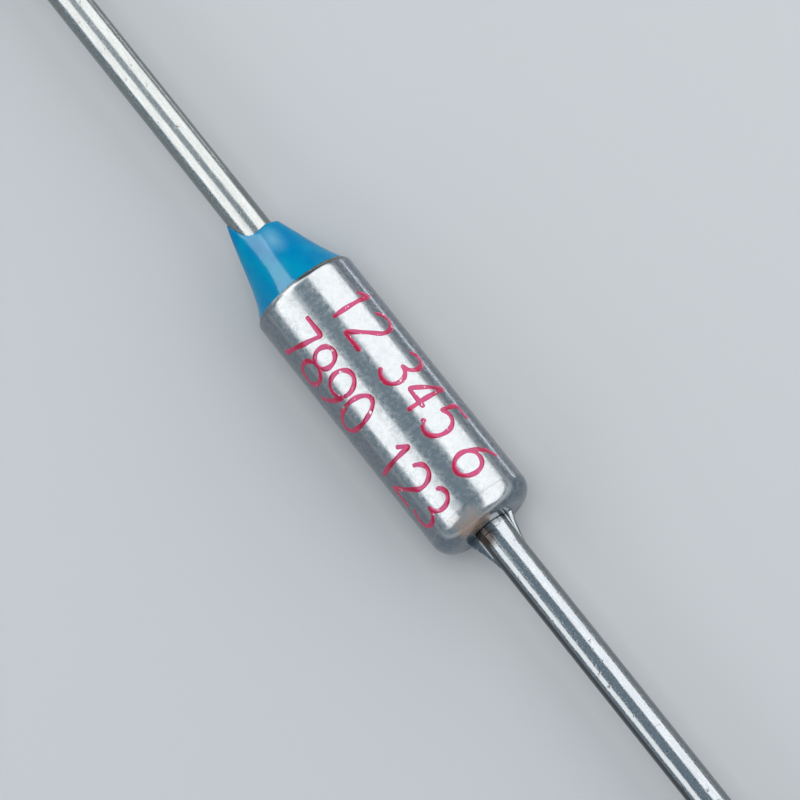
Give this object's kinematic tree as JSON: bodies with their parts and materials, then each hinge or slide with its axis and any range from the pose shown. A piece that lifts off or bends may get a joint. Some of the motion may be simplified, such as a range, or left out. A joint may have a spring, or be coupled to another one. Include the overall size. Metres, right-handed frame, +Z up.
{
  "type": "axial thermal fuse",
  "caption": "One-shot thermal cutoff: a silver-plated can with a blue resin cone at its mouth and a stiff tinned wire lead at each end, holding a melting pellet, springs and a star contact.",
  "frame": {"origin": "middle of the case's length, on the axis that the case and both leads share", "axes": "+X along the axis towards the tip of the case lead, -X towards the tip of the isolated lead, +Z up from the surface that the fuse lies on in the picture"},
  "size_m": [0.075, 0.004, 0.004],
  "materials": {
    "silver_plate": "silver plate over drawn brass, bright with a fine grain and a little brown tarnish",
    "tinned_copper": "bright tin plate over copper wire, with fine draw lines and nicks",
    "organic_pellet": "pressed waxy powder",
    "brass_disc": "tumbled stamping",
    "spring_steel": "drawn spring wire",
    "silver_contact": "bright silver alloy sheet",
    "white_ceramic": "unglazed fine ceramic",
    "blue_resin": "glossy translucent cast resin"
  },
  "bodies": {
    "root": {"case": "silver_plate", "case_lead": "tinned_copper", "thermal_pellet": "organic_pellet", "pellet_disc": "brass_disc", "barrel_spring": "spring_steel", "contact_disc": "brass_disc", "star_contact": "silver_contact", "trip_spring": "spring_steel", "ceramic_bushing": "white_ceramic", "isolated_lead": "tinned_copper", "resin_seal": "blue_resin"}
  },
  "joints": []
}
